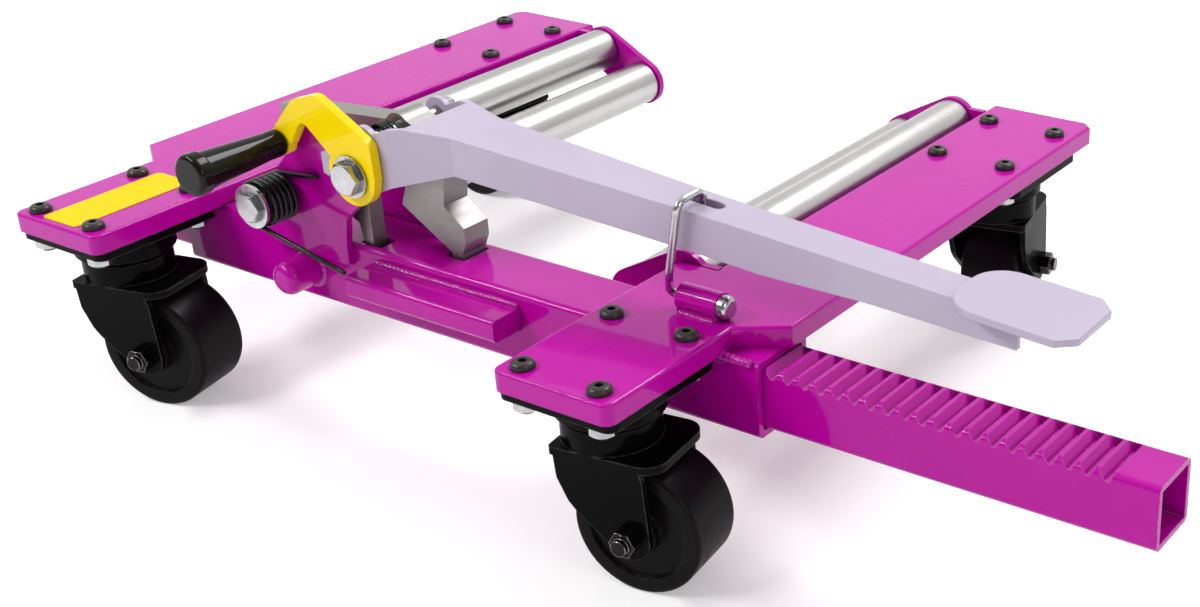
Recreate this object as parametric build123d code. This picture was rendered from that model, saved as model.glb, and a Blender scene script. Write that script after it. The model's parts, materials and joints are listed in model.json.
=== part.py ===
from build123d import *
import math
import os

# Vehicle positioning jack: two roller jaws on casters, drawn together by a ratchet pedal.
# While it is laid out, x = 0 is midway between the jaws, y = 0 is the front caster row and z = 0 is
# the floor. X runs along the beam to its open end, Y to the rear and Z up. Sizes are in millimetres.

# Fits
running_gap = 0.05
side_gap = 0.5
loose_hole = 0.5
slide_gap = 0.75

# Decks
deck_top = 172.0
deck_rim = 16.0
deck_sheet = 5.0
deck_inner = 208.0
deck_width = 102.0
deck_jog = 35.5
deck_front = -60.0
deck_rear_margin = 18.0
deck_slant_start = 74.0
deck_slant_end = 98.0
deck_corner_cut = 8.0
deck_corner_round = 8.0
deck_edge_round = 2.5
deck_notch = 1.0
deck_notch_side = 1.0
strip_width = 42.0
strip_length = 112.0
strip_sheet = 0.6
strip_corner = 4.0
strip_y = 2.0

# Beam
beam_gap = 4.85
outer_side = 60.0
outer_wall = 5.25
outer_under_left = 52.0
outer_past_right = 30.0
inner_wall = 4.0
inner_inset = 3.0
inner_right = 641.0
tube_corner = 5.0
saddle_lip = 22.0
saddle_length = 30.0

# Ratchet teeth
tooth_pitch = 13.5
tooth_depth = 6.0
tooth_crest = 2.5
tooth_face = 3.0
tooth_root = 2.5
tooth_rear_land = 2.0
rack_floor = 3.0
rack_plain_end = 24.0
teeth_left_of_drive = 10
pawls_apart = 6
drive_tip_x = 42.0
tip_gap = 0.5

# Rollers
roller_d = 42.0
roller_wall = 4.0
roller_front = 154.0
roller_length = 398.0
roller_gap = 1.0
outer_roller_x = 211.0
outer_roller_drop = 15.0
inner_roller_x = 160.0
inner_roller_drop = 42.5
roller_axle_d = 16.0
roller_axle_head = 10.0
roller_axle_flats = 24.0
bush_length = 14.0
bracket_sheet = 6.0
bracket_margin = 2.0

# Casters
wheel_d = 100.0
wheel_width = 52.0
wheel_round = 3.0
wheel_dish = 3.0
wheel_hub_d = 36.0
wheel_rim = 9.0
hub_proud = 5.0
caster_trail = 30.0
caster_axle_d = 12.0
caster_axle_head = 7.5
caster_axle_nut = 10.0
caster_axle_tip = 14.0
fork_sheet = 4.5
fork_reach_front = 31.0
fork_reach_back = 56.0
fork_front_round = 4.0
fork_back_round = 16.0
leg_front = [(-27.0, 6.0), (-25.0, -17.0), (-17.0, -34.0), (-10.0, -42.0)]
leg_back = [(44.0, -6.0), (40.0, 6.0)]
leg_eye_angle = 242.0
fork_eye_d = 34.0
crown_gap = 4.0
crown_sheet = 6.0
plate_sheet = 7.0
plate_x = 101.6
plate_y = 114.3
plate_corner = 9.0
bolts_x = 66.7
bolts_y = 92.1
upper_race_d = 80.0
lower_race_d = 72.0
race_gap = 0.6
race_bevel = 2.0
kingpin_d = 12.0
kingpin_head = 7.0
kingpin_nut = 5.5
kingpin_flats = 18.0
rear_caster_inset = 90.0
front_right_turn = 8.0
front_left_turn = 13.0
rear_right_turn = 102.0
rear_left_turn = 175.0

# Caster screws
screw_d = 10.0
button_d = 17.5
button_height = 5.5
button_round = 3.5
socket_flats = 6.0
socket_depth = 3.0
nut_flats = 17.0
nut_height = 8.0
screw_tail = 2.5
boss_d = 20.0

# Pedal pivot and the plates stacked along it
pivot_x = -21.0
pivot_rise = 72.0
pivot_d = 16.0
pivot_flats = 24.0
pivot_head = 7.5
pivot_washer_d = 34.0
pivot_washer = 2.0
pivot_nut_height = 10.0
pivot_tail = 3.0
gusset_sheet = 6.0
gusset_foot = 16.0
gusset_left = -146.0
gusset_right = -55.0
gusset_shoulder = 42.0
gusset_crest = [(-91.0, -6.0), (-76.0, 31.0)]
gusset_waist_x = -4.0
gusset_waist_z = 24.0
rear_gusset_left = -88.0
rear_gusset_waist = 20.0

# Release lever and its grip
lever_sheet = 8.0
lever_hub_d = 48.0
lever_outline = [
    (25.0, -2.0), (24.0, 30.0), (-30.0, 60.0), (-56.0, 51.0), (-84.0, 21.0),
    (-68.0, 7.0), (-48.0, 37.0), (-20.0, 12.0), (-10.0, -10.0),
]
lever_rounds = [4.0, 10.0, 14.0, 16.0, 8.0, 8.0, 7.0, 4.0, 4.0]
grip_from_pivot_x = -77.0
grip_from_pivot_z = 13.0
grip_length = 86.0
grip_neck_d = 22.0
grip_end_d = 33.0
grip_end_round = 4.0
grip_straight = 14.0
grip_sweep = 40.0
grip_collar_round = 0.8
grip_collar = 1.6
grip_collar_length = 11.0
grip_neck_round = 3.0

# Pedal
pedal_sheet = 5.0
pedal_lift = 60.0
pedal_hub_d = 42.0
pedal_tail = 41.0
pedal_flare_start = 12.0
pedal_flare_end = 64.0
pedal_flare_width = 53.0
pedal_waist_x = 270.0
pedal_waist_width = 36.0
pedal_end_x = 534.0
pedal_end_width = 32.0
pedal_web_left = 24.0
pedal_rise = 111.5
pedal_fall = 0.0677
pedal_depth = 30.0
pedal_end_depth = 22.0
pedal_taper_start = 335.0
pedal_taper_end = 425.0
pedal_taper_extra = 2.0
pedal_tail_up = 9.0
pedal_tail_down = 8.0
pedal_throat_x = 33.0
pedal_throat_z = 6.0
pedal_brow = 1.5
pad_left = 487.0
pad_length = 94.0
pad_width = 70.0
pad_sheet = 5.0
pad_round = 26.0
pad_corner_cut = 12.0
pad_corner_round = 4.0

# Pawls
pawl_pin_d = 12.0
pawl_pin_x = 8.0
pawl_pin_z = 26.0
pawl_pin_flats = 19.0
pawl_pin_nut = 9.0
pawl_pin_tail = 4.0
pawl_pin_room = 1.5
pawl_eye_d = 26.0
drive_pawl_offset = 6.0
drive_pawl_width = 26.0
drive_tail_reach = 138.0
drive_tail_drop = 11.0
drive_tail_height = 11.0
drive_tail_inset = 4.0
drive_brow = [(42.0, 24.0), (52.0, -2.0), (48.0, -30.0)]
drive_nose = [(4.0, 27.0), (4.0, 14.0)]
drive_chin = [(-12.0, 4.0), (-35.0, 18.0)]
drive_throat = [(2.0, -38.0), (8.0, -22.0), (33.0, -12.0), (33.0, 11.0), (24.0, 15.0)]
drive_tip_rise = 4.0
hold_pawl_inset = 2.0
hold_pawl_width = 14.0
hold_pawl_crown = 10.0
hold_brow = 16.0
hold_brow_drop = 3.0
hold_chin = [(-13.0, 16.0), (-24.0, 22.0)]
slot_gap = 1.5
drive_slot_back = 19.0
hold_slot_back = 14.0
hold_slot_ahead = 9.0

# Torsion spring and its bolt
spring_bolt_x = -116.0
spring_bolt_rise = 34.0
spring_bolt_d = 12.0
spring_flange_d = 36.0
spring_flange = 3.0
spring_head_flats = 22.0
spring_head = 5.0
spring_collar_d = 20.0
spring_end_d = 20.0
spring_end = 3.5
spring_wire = 4.0
spring_mean_d = 36.0
spring_turns = 5
spring_pitch = 5.25
spring_end_turn = 0.4
spring_upper_x = 46.0
spring_upper_z = 23.0
spring_lower_x = 99.0
spring_lower_z = -39.0

# Pawl return spring
return_wire = 2.4
return_mean_d = 19.0
return_turns = 3
return_pitch = 3.6
return_offset = 26.0
return_leg = 26.0

# Small fittings on the beam and the right deck
peg_x = -107.0
peg_drop = 32.0
peg_d = 28.0
peg_length = 33.0
peg_round = 8.0
step_left = -34.0
step_right = 121.0
step_reach = 30.5
step_drop = 11.0
step_height = 18.0
step_sheet = 4.0
step_round = 4.0
latch_wire = 6.0
latch_offset = 10.0
latch_from_caster = 3.0
latch_length = 35.0
latch_barrel_d = 20.0
latch_foot = 16.0
latch_arm_out = 12.0
latch_short = 3.5
latch_knee_in = 2.0
latch_knee_rise = 24.0
latch_arm_offset = 26.0
latch_hook_in = 13.0
latch_hook_offset = 3.0
latch_over = 6.0
latch_into = 7.0
latch_bend = 8.0
latch_foot_bend = 4.0
latch_cap_length = 8.0
latch_cap_step = 1.0
latch_hole_left = 11.0
latch_hole_right = 18.0
latch_hole_width = 10.0

# Levels and faces that the pieces share
beam_top = deck_top - deck_rim
inner_side = outer_side - 2 * outer_wall - 2 * slide_gap
beam_y = plate_y / 2 + beam_gap + outer_side / 2
beam_z = beam_top - outer_side / 2
inner_top = beam_z + inner_side / 2
inner_front = beam_y - inner_side / 2
outer_front = beam_y - outer_side / 2
outer_rear = beam_y + outer_side / 2
drive_pawl_front = beam_y - drive_pawl_offset
hold_pawl_front = inner_front + hold_pawl_inset
return_front = beam_y - return_offset
latch_y = beam_y - latch_offset
latch_arm_top_y = beam_y - latch_arm_offset
latch_hook_y = beam_y + latch_hook_offset
deck_outer = deck_inner + deck_width
rear_inner = deck_inner + deck_jog
rear_outer = deck_outer + deck_jog
roller_rear = roller_front + roller_length
front_plate_y = roller_front - roller_gap - bracket_sheet
rear_plate_y = roller_rear + roller_gap
deck_rear = rear_plate_y + bracket_sheet + deck_rear_margin
rear_caster_y = deck_rear - rear_caster_inset
outer_left = -deck_inner - outer_under_left
outer_right = deck_outer + outer_past_right
inner_left = -deck_outer + inner_inset
outer_roller_z = deck_top - outer_roller_drop
inner_roller_z = deck_top - inner_roller_drop
front_caster_x = deck_inner + deck_width / 2
rear_caster_x = rear_inner + deck_width / 2
plate_bottom = beam_top - plate_sheet
axle_z = wheel_d / 2
crown_bottom = wheel_d + crown_gap
crown_top = crown_bottom + crown_sheet
race_middle = (crown_top + plate_bottom) / 2
fork_inner = wheel_width / 2 + hub_proud + side_gap
fork_outer = fork_inner + fork_sheet
pivot_z = beam_top + pivot_rise
gusset_front_y = outer_front - gusset_sheet
pedal_front_y = gusset_front_y - side_gap - pedal_sheet
lever_front_y = pedal_front_y - side_gap - lever_sheet
washer_front_y = lever_front_y - side_gap - pivot_washer
gusset_rear_y = outer_rear + gusset_sheet
pedal_rear_y = gusset_rear_y + side_gap + pedal_sheet
pedal_half_width = beam_y - pedal_front_y
pin_x = pivot_x + pawl_pin_x
pin_z = pivot_z + pawl_pin_z
pin_reach = math.hypot(pawl_pin_x, pawl_pin_z)
pin_half_path = pawl_pin_d / 2 + pawl_pin_room
gusset_boss_d = 2 * (pin_reach - pin_half_path)
spring_z = beam_top + spring_bolt_rise
spring_span = spring_pitch * (spring_turns + spring_end_turn)
coil_front_y = gusset_front_y - side_gap - spring_wire / 2 - spring_span
latch_z = deck_top + latch_barrel_d / 2
latch_left = front_caster_x + latch_from_caster
latch_right = latch_left + latch_length
latch_hook_x = latch_left + latch_hook_in
grip_x = pivot_x + grip_from_pivot_x
grip_z = pivot_z + grip_from_pivot_z
hold_tip_x = drive_tip_x - pawls_apart * tooth_pitch

lower_z = (Align.CENTER, Align.CENTER, Align.MIN)


def along_y(x, y, z):
    return Plane(origin=(x, y, z), x_dir=(1, 0, 0), z_dir=(0, 1, 0))


def along_x(x, y, z):
    return Plane(origin=(x, y, z), x_dir=(0, 1, 0), z_dir=(1, 0, 0))


def rod_y(x, z, y0, y1, diameter):
    return along_y(x, y0, z) * Cylinder(diameter / 2, y1 - y0, align=lower_z)


def rod_x(y, z, x0, x1, diameter):
    return along_x(x0, y, z) * Cylinder(diameter / 2, x1 - x0, align=lower_z)


def rod_z(x, y, z0, z1, diameter):
    return Pos(x, y, z0) * Cylinder(diameter / 2, z1 - z0, align=lower_z)


def block(x0, x1, y0, y1, z0, z1):
    return Pos((x0 + x1) / 2, (y0 + y1) / 2, (z0 + z1) / 2) * Box(x1 - x0, y1 - y0, z1 - z0)


def upright(points, y0, y1, radii=None):
    # A plate standing in the XZ plane, with its corners rounded by the given radii
    corners = [(x, y0, z) for x, z in points]
    outline = Polyline(*corners, close=True)
    if radii:
        outline = FilletPolyline(*corners, radius=radii, close=True)
    return extrude(make_face(outline), amount=y1 - y0, dir=(0, 1, 0))


def from_pivot(points):
    return [(pivot_x + x, pivot_z + z) for x, z in points]


def facing_front(x, y, z):
    return Plane(origin=(x, y, z), x_dir=(1, 0, 0), z_dir=(0, -1, 0))


def flat(points, z0, z1):
    outline = Polyline(*[(x, y, z0) for x, y in points], close=True)
    return extrude(make_face(outline), amount=z1 - z0, dir=(0, 0, 1))


def hexagon(across_flats, height):
    prism = extrude(RegularPolygon(across_flats / math.sqrt(3), 6), amount=height)
    top_radius = across_flats / 2 - 0.3
    crown = Cone(top_radius + height * math.sqrt(3), top_radius, height, align=lower_z)
    return prism & crown


def group(solids):
    return Compound(children=[solid.solid() for solid in solids])


def on_side(shape, side):
    return shape if side == "right" else mirror(shape, about=Plane.YZ)


def caster_places():
    return [(front_caster_x, 0.0), (rear_caster_x, rear_caster_y)]


def bolt_places():
    places = []
    for x, y in caster_places():
        for sx in (-1, 1):
            for sy in (-1, 1):
                places.append((x + sx * bolts_x / 2, y + sy * bolts_y / 2))
    return places


def deck_outline():
    return [
        (deck_inner, deck_front),
        (deck_outer, deck_front),
        (deck_outer, deck_slant_start),
        (rear_outer, deck_slant_end),
        (rear_outer, deck_rear - deck_corner_cut),
        (rear_outer - deck_corner_cut, deck_rear),
        (rear_inner, deck_rear),
        (rear_inner, front_plate_y),
        (deck_inner, front_plate_y),
    ]


def deck():
    outer = flat(deck_outline(), beam_top, deck_top)
    front_corners = outer.edges().filter_by(Axis.Z).group_by(Axis.Y)[0]
    outer = fillet(front_corners, deck_corner_round)
    pan = fillet(outer.faces().sort_by(Axis.Z)[-1].outer_wire().edges(), deck_edge_round)
    sketch = make_face(Polyline(*[(x, y, beam_top) for x, y in deck_outline()], close=True))
    hollow_face = offset(sketch, -deck_sheet, kind=Kind.INTERSECTION)
    pan = pan - extrude(hollow_face, amount=deck_rim - deck_sheet, dir=(0, 0, 1))
    pan = pan + [rod_z(x, y, beam_top, deck_top - deck_sheet / 2, boss_d) for x, y in bolt_places()]
    return pan - [rod_z(x, y, beam_top, deck_top, screw_d + loose_hole) for x, y in bolt_places()]


def notched_deck():
    # The left deck's inner rim clears the outer tube, which it slides over
    notch = block(
        -rear_inner, -deck_inner,
        outer_front - deck_notch_side, outer_rear + deck_notch_side,
        beam_top, beam_top + deck_notch,
    )
    return on_side(deck(), "left") - notch


def bracket(y0):
    # Long plate round both roller axles, with a tongue that meets the deck's inner rim
    dx = outer_roller_x - inner_roller_x
    dz = outer_roller_z - inner_roller_z
    slope = math.degrees(math.atan2(dz, dx))
    width = roller_d + 2 * bracket_margin
    ends = SlotCenterToCenter(math.hypot(dx, dz), width, rotation=slope)
    middle = facing_front((outer_roller_x + inner_roller_x) / 2, y0, (outer_roller_z + inner_roller_z) / 2)
    plate = extrude(middle * ends, amount=-bracket_sheet)
    plate = plate + block(outer_roller_x, rear_inner, y0, y0 + bracket_sheet, beam_top, deck_top)
    for x, z in roller_axes():
        plate = plate - rod_y(x, z, y0, y0 + bracket_sheet, roller_axle_d)
    return plate


def roller_axes():
    return [(outer_roller_x, outer_roller_z), (inner_roller_x, inner_roller_z)]


def roller_axle(x, z):
    head_y = rear_plate_y + bracket_sheet
    shank = rod_y(x, z, front_plate_y, head_y, roller_axle_d)
    return shank + along_y(x, head_y, z) * hexagon(roller_axle_flats, roller_axle_head)


def roller(x, z):
    tube = rod_y(x, z, roller_front, roller_rear, roller_d)
    tube = tube - rod_y(x, z, roller_front, roller_rear, roller_d - 2 * roller_wall)
    ends = tube.edges().filter_by(GeomType.CIRCLE)
    return chamfer([edge for edge in ends if edge.radius > roller_d / 2 - roller_wall / 2], roller_wall / 4)


def roller_bushes(x, z):
    bushes = []
    for y0 in (roller_front, roller_rear - bush_length):
        bush = rod_y(x, z, y0, y0 + bush_length, roller_d - 2 * roller_wall)
        bore = roller_axle_d + 2 * running_gap
        bushes.append(bush - rod_y(x, z, y0, y0 + bush_length, bore))
    return group(bushes)


def button_screw(x, y):
    head = Cylinder(button_d / 2, button_height, align=lower_z)
    head = fillet(head.edges().sort_by(Axis.Z)[-1], button_round)
    socket = extrude(RegularPolygon(socket_flats / math.sqrt(3), 6), amount=socket_depth)
    head = head - Pos(0, 0, button_height - socket_depth) * socket
    tail_z = plate_bottom - nut_height - screw_tail
    return Pos(x, y, deck_top) * head + rod_z(x, y, tail_z, deck_top, screw_d)


def lock_nut(x, y):
    nut = Pos(x, y, plate_bottom) * (Rot(180, 0, 0) * hexagon(nut_flats, nut_height))
    return nut - rod_z(x, y, plate_bottom - nut_height, plate_bottom, screw_d)


def caster_plate(x, y):
    outline = RectangleRounded(plate_x, plate_y, plate_corner)
    plate = extrude(Pos(x, y, plate_bottom) * outline, amount=plate_sheet)
    race = rod_z(x, y, race_middle + race_gap / 2, plate_bottom, upper_race_d)
    race = chamfer(race.edges().sort_by(Axis.Z)[0], race_bevel)
    plate = plate + race
    plate = plate - rod_z(x, y, race_middle, beam_top, kingpin_d)
    for sx in (-1, 1):
        for sy in (-1, 1):
            hole_x = x + sx * bolts_x / 2
            hole_y = y + sy * bolts_y / 2
            plate = plate - rod_z(hole_x, hole_y, plate_bottom, beam_top, screw_d + loose_hole)
    return plate


def kingpin(x, y):
    nut_top = crown_bottom - side_gap
    pin = rod_z(x, y, nut_top - kingpin_nut, beam_top, kingpin_d)
    pin = pin + Pos(x, y, beam_top) * hexagon(kingpin_flats, kingpin_head)
    return pin + Pos(x, y, nut_top) * (Rot(180, 0, 0) * hexagon(kingpin_flats, kingpin_nut))


def swivelled(shape, x, y, turn):
    return Pos(x, y, 0) * (Rot(0, 0, turn) * shape)


def fork():
    # Bent from sheet: a crown under the raceway and two legs that narrow to the axle
    shape = block(-fork_reach_front, fork_reach_back, -fork_outer, fork_outer, crown_bottom, crown_top)
    front_corners = shape.edges().filter_by(Axis.Z).group_by(Axis.X)[0]
    shape = fillet(front_corners, fork_front_round)
    back_corners = shape.edges().filter_by(Axis.Z).group_by(Axis.X)[-1]
    shape = fillet(back_corners, fork_back_round)
    angle = math.radians(leg_eye_angle)
    eye = fork_eye_d / 2
    side = [(x, crown_bottom + z) for x, z in leg_front]
    side.append((caster_trail + eye * math.cos(angle), axle_z + eye * math.sin(angle)))
    side.append((caster_trail + eye, axle_z))
    side += [(x, crown_bottom + z) for x, z in leg_back]
    for y0 in (-fork_outer, fork_inner):
        leg = upright(side, y0, y0 + fork_sheet)
        leg = leg + rod_y(caster_trail, axle_z, y0, y0 + fork_sheet, fork_eye_d)
        shape = shape + leg
    lower_race = rod_z(0, 0, crown_top, race_middle - race_gap / 2, lower_race_d)
    shape = shape + chamfer(lower_race.edges().sort_by(Axis.Z)[-1], race_bevel)
    shape = shape - rod_z(0, 0, crown_bottom, race_middle, kingpin_d + 2 * running_gap)
    return shape - rod_y(caster_trail, axle_z, -fork_outer, fork_outer, caster_axle_d)


def caster_axle():
    # Bolt with its nut on the near side of the fork
    flats = caster_axle_d * 1.5
    near = -fork_outer
    tip = near - caster_axle_tip
    bolt = rod_y(caster_trail, axle_z, tip, fork_outer, caster_axle_d)
    bolt = bolt + along_y(caster_trail, fork_outer, axle_z) * hexagon(flats, caster_axle_head)
    nut = facing_front(caster_trail, near, axle_z) * hexagon(flats, caster_axle_nut)
    nut = nut - rod_y(caster_trail, axle_z, tip, near, caster_axle_d)
    return group([bolt, nut])


def wheel():
    half = wheel_width / 2
    disc = rod_y(caster_trail, axle_z, -half, half, wheel_d)
    disc = fillet(disc.edges().filter_by(GeomType.CIRCLE), wheel_round)
    rim_inner_d = wheel_d - 2 * wheel_round - 2 * wheel_rim
    for y0, y1 in ((-half, wheel_dish - half), (half - wheel_dish, half)):
        disc = disc - rod_y(caster_trail, axle_z, y0, y1, rim_inner_d)
    hub_half = half + hub_proud
    disc = disc + rod_y(caster_trail, axle_z, -hub_half, hub_half, wheel_hub_d)
    return disc - rod_y(caster_trail, axle_z, -hub_half, hub_half, caster_axle_d + 2 * running_gap)


def square_tube(x0, x1, side, wall, corner):
    bore = side - 2 * wall
    section = RectangleRounded(side, side, corner) - RectangleRounded(bore, bore, corner / 2)
    return extrude(along_x(x0, beam_y, beam_z) * section, amount=x1 - x0)


def outer_tube():
    tube = square_tube(outer_left, outer_right, outer_side, outer_wall, tube_corner)
    wall_bottom = beam_top - outer_wall - 1.0
    drive_slot = block(
        drive_tip_x - drive_slot_back, drive_tip_x + slot_gap,
        drive_pawl_front - slot_gap, drive_pawl_front + drive_pawl_width + slot_gap,
        wall_bottom, beam_top,
    )
    hold_slot = block(
        hold_tip_x - hold_slot_back, hold_tip_x + hold_slot_ahead,
        hold_pawl_front - slot_gap, hold_pawl_front + hold_pawl_width + slot_gap,
        wall_bottom, beam_top,
    )
    return tube - drive_slot - hold_slot


def inner_tube():
    top_wall = tooth_depth + rack_floor
    bar = extrude(
        along_x(inner_left, beam_y, beam_z) * RectangleRounded(inner_side, inner_side, tube_corner),
        amount=inner_right - inner_left,
    )
    low = beam_z - inner_side / 2 + inner_wall
    near = inner_front + inner_wall
    far = beam_y + inner_side / 2 - inner_wall
    bore = block(inner_left, inner_right, near, far, low, inner_top - top_wall)
    mouth = block(inner_right - rack_plain_end, inner_right, near, far, low, inner_top - inner_wall)
    ramp = tooth_pitch - tooth_crest - tooth_face - tooth_root
    first = drive_tip_x - teeth_left_of_drive * tooth_pitch
    count = int((inner_right - rack_plain_end - first) / tooth_pitch) + 1
    grooves = []
    for index in range(count):
        x = first + index * tooth_pitch
        root_right = x - tooth_face
        root_left = root_right - tooth_root
        valley = [
            (x, inner_top),
            (root_right, inner_top - tooth_depth),
            (root_left, inner_top - tooth_depth),
            (root_left - ramp, inner_top),
        ]
        grooves.append(upright(valley, inner_front, inner_front + inner_side - tooth_rear_land))
    return bar - bore - mouth - grooves


def saddle():
    # Inverted channel over the inner tube, with a riser to the underside of the left deck
    near = -deck_outer
    far = near + saddle_length
    inner_rear = beam_y + inner_side / 2
    shape = block(near, far, outer_front, outer_rear, inner_top - saddle_lip, beam_top)
    shape = shape + block(near + deck_sheet, far, outer_front, outer_rear, beam_top, deck_top - deck_sheet)
    return shape - block(near, far, inner_front, inner_rear, beam_z, inner_top)


def pin_path(y0, y1):
    # Room for the pawl pin, which swings about the pivot as the pedal rises
    margin = math.asin(pin_half_path / pin_reach)
    low = math.atan2(pawl_pin_z, pawl_pin_x) - margin
    high = low + math.radians(pedal_lift) + 2 * margin
    wedge = [(pivot_x, pivot_z)]
    for i in range(4):
        angle = low + (high - low) * i / 3
        x = pivot_x + 2 * pin_reach * math.cos(angle)
        wedge.append((x, pivot_z + 2 * pin_reach * math.sin(angle)))
    return rod_y(pivot_x, pivot_z, y0, y1, 2 * (pin_reach + pin_half_path)) & upright(wedge, y0, y1)


def gusset_front():
    foot_z = beam_top - gusset_foot
    points = [
        (gusset_left, foot_z),
        (gusset_left, pivot_z - gusset_shoulder),
        *from_pivot(gusset_crest),
        (pivot_x, pivot_z + gusset_boss_d / 2),
        (pivot_x, pivot_z - gusset_boss_d / 2),
        (gusset_right - gusset_waist_x, beam_top + gusset_waist_z),
        (gusset_right, beam_top),
        (gusset_right, foot_z),
    ]
    plate = upright(points, gusset_front_y, outer_front) - pin_path(gusset_front_y, outer_front)
    plate = plate + rod_y(pivot_x, pivot_z, gusset_front_y, outer_front, gusset_boss_d)
    plate = plate - rod_y(pivot_x, pivot_z, gusset_front_y, outer_front, pivot_d)
    return plate - rod_y(spring_bolt_x, spring_z, gusset_front_y, outer_front, spring_bolt_d)


def gusset_rear():
    foot_z = beam_top - gusset_foot
    points = [
        (rear_gusset_left, foot_z),
        (rear_gusset_left, beam_top + rear_gusset_waist),
        (pivot_x - gusset_boss_d / 2, pivot_z),
        (pivot_x + gusset_boss_d / 2, pivot_z),
        (pivot_x + gusset_boss_d / 2, beam_top + rear_gusset_waist),
        (pivot_x + gusset_boss_d / 2, foot_z),
    ]
    plate = upright(points, outer_rear, gusset_rear_y)
    plate = plate + rod_y(pivot_x, pivot_z, outer_rear, gusset_rear_y, gusset_boss_d)
    return plate - rod_y(pivot_x, pivot_z, outer_rear, gusset_rear_y, pivot_d)


def pivot_bolt():
    end_y = pedal_rear_y + side_gap + pivot_nut_height + pivot_tail
    bolt = rod_y(pivot_x, pivot_z, washer_front_y, end_y, pivot_d)
    bolt = bolt + rod_y(pivot_x, pivot_z, washer_front_y, washer_front_y + pivot_washer, pivot_washer_d)
    return bolt + facing_front(pivot_x, washer_front_y, pivot_z) * hexagon(pivot_flats, pivot_head)


def pivot_nut():
    y0 = pedal_rear_y + side_gap
    nut = along_y(pivot_x, y0, pivot_z) * hexagon(pivot_flats, pivot_nut_height)
    return nut - rod_y(pivot_x, pivot_z, y0, y0 + pivot_nut_height, pivot_d)


def release_lever():
    back_y = lever_front_y + lever_sheet
    plate = upright(from_pivot(lever_outline), lever_front_y, back_y, lever_rounds)
    plate = plate + rod_y(pivot_x, pivot_z, lever_front_y, back_y, lever_hub_d)
    plate = plate + rod_y(grip_x, grip_z, lever_front_y, back_y, grip_neck_d)
    return plate - rod_y(pivot_x, pivot_z, lever_front_y, back_y, pivot_d + 2 * running_gap)


def lever_grip():
    # Tapered sleeve, with a collar at its free end
    neck = grip_neck_d / 2
    flare = grip_end_d / 2
    collar_y = grip_length - grip_collar_length
    points = [
        (0, 0),
        (neck, 0),
        (neck, grip_straight),
        (flare - grip_collar, collar_y - grip_collar),
        (flare, collar_y),
        (flare, grip_length),
        (0, grip_length),
    ]
    rounds = [0, grip_neck_round, grip_sweep, grip_collar_round, grip_collar_round, grip_end_round, 0]
    outline = FilletPolyline(*points, radius=rounds, close=True)
    turned = revolve(make_face(outline), axis=Axis.Y)
    return Plane(origin=(grip_x, lever_front_y, grip_z), x_dir=(1, 0, 0), z_dir=(0, 0, -1)) * turned


def pedal_top(x):
    return beam_top + pedal_rise - pedal_fall * (x - pedal_flare_end)


def pedal_plan(inset):
    return [
        (pivot_x - pedal_tail, pedal_half_width - inset),
        (pedal_flare_start, pedal_half_width - inset),
        (pedal_flare_end, pedal_flare_width / 2 - inset),
        (pedal_waist_x, pedal_waist_width / 2 - inset),
        (pedal_end_x, pedal_end_width / 2 - inset),
    ]


def pedal_side():
    # Outline of the pedal's cheeks and flanges, seen from the front, as a thick block
    y0 = pedal_front_y
    y1 = pedal_rear_y
    points = [
        (pivot_x - pedal_tail, pivot_z - pedal_tail_down),
        (pivot_x - pedal_tail, pivot_z + pedal_tail_up),
        (pedal_flare_start, pedal_top(pedal_web_left) - pedal_brow),
        (pedal_web_left, pedal_top(pedal_web_left)),
        (pedal_end_x, pedal_top(pedal_end_x)),
        (pedal_end_x, pedal_top(pedal_end_x) - pedal_end_depth),
        (pedal_taper_end, pedal_top(pedal_taper_end) - pedal_end_depth - pedal_taper_extra),
        (pedal_taper_start, pedal_top(pedal_taper_start) - pedal_depth),
        (pedal_flare_end, pedal_top(pedal_flare_end) - pedal_depth),
        (pivot_x + pedal_throat_x, pivot_z - pedal_throat_z),
        (pivot_x, pivot_z - pedal_hub_d / 2),
    ]
    side = upright(points, y0, y1)
    side = side + rod_y(pivot_x, pivot_z, y0, y1, pedal_hub_d)
    return side + rod_y(pin_x, pin_z, y0, y1, pawl_eye_d)


def pedal_arm():
    tall = pedal_top(pedal_web_left) + pedal_depth
    walls = []
    for sign in (-1, 1):
        outer = [(x, beam_y + sign * half) for x, half in pedal_plan(0)]
        inner = [(x, beam_y + sign * half) for x, half in pedal_plan(pedal_sheet)]
        walls.append(flat(outer + inner[::-1], beam_top, tall))
    side = pedal_side()
    arm = (walls[0] & side) + (walls[1] & side)
    near = [(x, beam_y - half) for x, half in pedal_plan(0)]
    far = [(x, beam_y + half) for x, half in pedal_plan(0)]
    plan = flat(near + far[::-1], beam_top, tall)
    band = [
        (pedal_web_left, pedal_top(pedal_web_left)),
        (pedal_end_x, pedal_top(pedal_end_x)),
        (pedal_end_x, pedal_top(pedal_end_x) - pedal_sheet),
        (pedal_web_left, pedal_top(pedal_web_left) - pedal_sheet),
    ]
    arm = arm + (upright(band, pedal_front_y, pedal_rear_y) & plan)
    arm = arm - rod_y(pivot_x, pivot_z, pedal_front_y, pedal_rear_y, pivot_d + 2 * running_gap)
    arm = arm - rod_y(pin_x, pin_z, pedal_front_y, pedal_rear_y, pawl_pin_d)
    hole_length = latch_hole_left + latch_hole_right
    hole_x = latch_hook_x + (latch_hole_right - latch_hole_left) / 2
    slot = extrude(SlotOverall(hole_length, latch_hole_width), amount=2 * pedal_sheet, both=True)
    return arm - Pos(hole_x, latch_hook_y, pedal_top(hole_x)) * slot


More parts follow.
